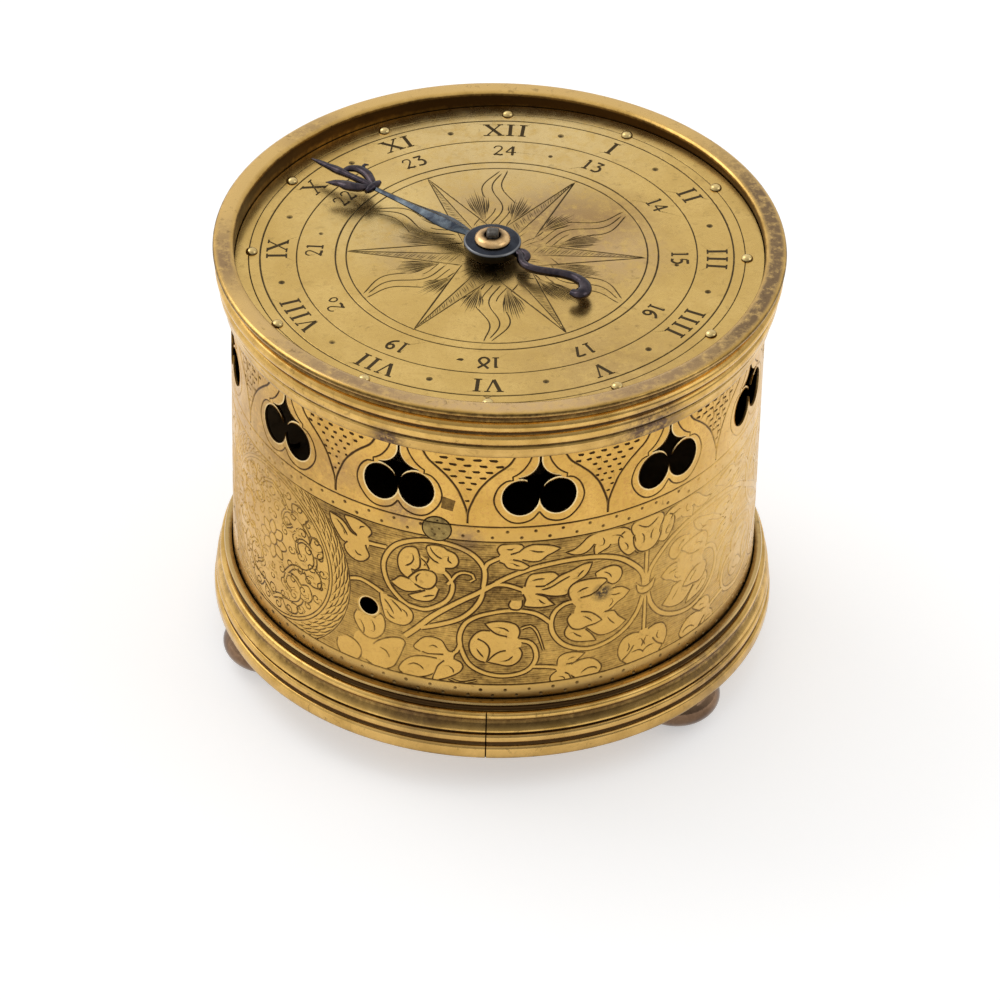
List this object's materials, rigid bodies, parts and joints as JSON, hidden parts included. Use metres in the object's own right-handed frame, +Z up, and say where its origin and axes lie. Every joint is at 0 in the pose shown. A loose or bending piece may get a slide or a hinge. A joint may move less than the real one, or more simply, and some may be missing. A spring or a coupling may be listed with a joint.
{
  "type": "drum table clock",
  "caption": "Round gilt brass table clock with a pierced and engraved drum case on bun feet, a horizontal dial with touch pins, a single steel hand and a fusee movement with a bell.",
  "frame": {"origin": "on the standing surface, under the axis of the drum", "axes": "+Z up, +Y towards XII on the dial, so the front of the case in the picture faces -Y"},
  "size_m": [0.1076, 0.1076, 0.0905],
  "materials": {
    "gilt_brass": "fire gilt, engraved, worn to a warm satin",
    "worn_gilt_brass": "turned gilt mouldings with dark patina in the grooves",
    "dial_gilt": "engraved gilt dial with dark filled lines",
    "dark_brass": "dark brown patina, polished by handling",
    "grey_plug": "dull olive grey",
    "movement_brass": "satin",
    "gilt_copper": "reddish gilding, worn",
    "blued_steel": "dark blue black, filed and polished",
    "steel": "satin, lightly darkened",
    "spring_steel": "blue grey temper",
    "bell_metal": "turned bell bronze",
    "gut": "waxed gut"
  },
  "bodies": {
    "case": {"drum_wall": "gilt_brass", "top_bezel": "worn_gilt_brass", "base_moulding": "gilt_brass", "foot_1": "dark_brass", "foot_2": "dark_brass", "foot_3": "dark_brass", "wall_plug": "grey_plug", "cover_hinge_pin": "steel", "dial_plate": "dial_gilt", "touch_pin_01": "gilt_brass", "touch_pin_02": "gilt_brass", "touch_pin_03": "gilt_brass", "touch_pin_04": "gilt_brass", "touch_pin_05": "gilt_brass", "touch_pin_06": "gilt_brass", "touch_pin_07": "gilt_brass", "touch_pin_08": "gilt_brass", "touch_pin_09": "gilt_brass", "touch_pin_10": "gilt_brass", "touch_pin_11": "gilt_brass", "touch_pin_12": "gilt_brass", "top_plate": "movement_brass", "back_plate": "movement_brass", "pillar_1": "movement_brass", "pillar_2": "movement_brass", "pillar_3": "movement_brass", "dial_post_1": "movement_brass", "dial_post_2": "movement_brass", "dial_post_3": "movement_brass", "barrel_arbor": "steel", "setup_ratchet": "steel", "setup_click": "steel", "gut_line": "gut", "crown_potence": "steel", "balance_cock": "movement_brass", "bell_post": "movement_brass", "bell": "bell_metal"},
    "cover": {"bottom_cover": "gilt_brass"},
    "turn_button": {"cover_turn_button": "gilt_brass"},
    "barrel": {"mainspring_barrel": "movement_brass", "barrel_cap": "movement_brass", "mainspring": "spring_steel"},
    "great_wheel": {"great_wheel": "movement_brass", "report_pinion": "steel"},
    "fusee": {"fusee_cone": "movement_brass", "fusee_arbor": "steel"},
    "second": {"second_wheel": "movement_brass", "second_arbor": "steel"},
    "contrate": {"contrate_wheel": "movement_brass", "contrate_arbor": "steel"},
    "crown": {"crown_wheel": "movement_brass", "crown_arbor": "steel"},
    "balance": {"balance_wheel": "movement_brass", "verge_staff": "steel"},
    "hour": {"hour_wheel": "movement_brass", "hour_arbor": "steel", "hand_collar": "gilt_copper", "hand_pin": "steel"},
    "hand": {"hour_hand": "blued_steel"},
    "hammer": {"bell_hammer": "steel"}
  },
  "joints": [
    {"name": "contrate_turn", "type": "hinge", "parent": "case", "child": "contrate", "pos_m": [0.00632, 0.01132, 0.0357], "axis": [0, 0, 1], "continuous": true},
    {"name": "second_turn", "type": "hinge", "parent": "case", "child": "second", "pos_m": [-0.00946, 0.01707, 0.0248], "axis": [0, 0, 1], "continuous": true},
    {"name": "great_wheel_turn", "type": "hinge", "parent": "case", "child": "great_wheel", "pos_m": [-0.01932, 0, 0.0455], "axis": [0, 0, 1], "continuous": true},
    {"name": "barrel_turn", "type": "hinge", "parent": "case", "child": "barrel", "pos_m": [-0.01043, -0.02443, 0.035], "axis": [0, 0, 1], "continuous": true},
    {"name": "hour_turn", "type": "hinge", "parent": "case", "child": "hour", "pos_m": [-0.0014, 0, 0.0516], "axis": [0, 0, 1], "continuous": true},
    {"name": "crown_turn", "type": "hinge", "parent": "case", "child": "crown", "pos_m": [0.00632, 0.01132, 0.03784], "axis": [0.9063, -0.4226, 0], "continuous": true},
    {"name": "balance_swing", "type": "hinge", "parent": "case", "child": "balance", "pos_m": [0.02563, 0.00232, 0.0178], "axis": [0, 0, 1], "range_deg": [-50, 50]},
    {"name": "winding", "type": "hinge", "parent": "great_wheel", "child": "fusee", "pos_m": [-0.01932, 0, 0.0365], "axis": [0, 0, 1], "range_deg": [-720, 0]},
    {"name": "hand_set", "type": "hinge", "parent": "hour", "child": "hand", "pos_m": [-0.0014, 0, 0.0872], "axis": [0, 0, 1], "continuous": true},
    {"name": "hammer_lift", "type": "hinge", "parent": "case", "child": "hammer", "pos_m": [0.0121, 0.02338, 0.0586], "axis": [0, 0, 1], "range_deg": [-15, 0], "stiffness_Nm_per_rad": 0.01},
    {"name": "cover_hinge", "type": "hinge", "parent": "case", "child": "cover", "pos_m": [-0.00548, -0.03624, 0.0062], "axis": [-0.9888, 0.1495, 0], "range_deg": [0, 100]},
    {"name": "turn_button_turn", "type": "hinge", "parent": "case", "child": "turn_button", "pos_m": [0.03934, 0.01542, 0.0067], "axis": [0, 0, 1], "range_deg": [0, 90]}
  ],
  "couplings": [
    {"joint": "second_turn", "follows": "contrate_turn", "ratio": -0.11111},
    {"joint": "great_wheel_turn", "follows": "contrate_turn", "ratio": 0.013889},
    {"joint": "barrel_turn", "follows": "contrate_turn", "ratio": 0.0093},
    {"joint": "hour_turn", "follows": "contrate_turn", "ratio": -0.0046296},
    {"joint": "crown_turn", "follows": "contrate_turn", "ratio": 7}
  ]
}
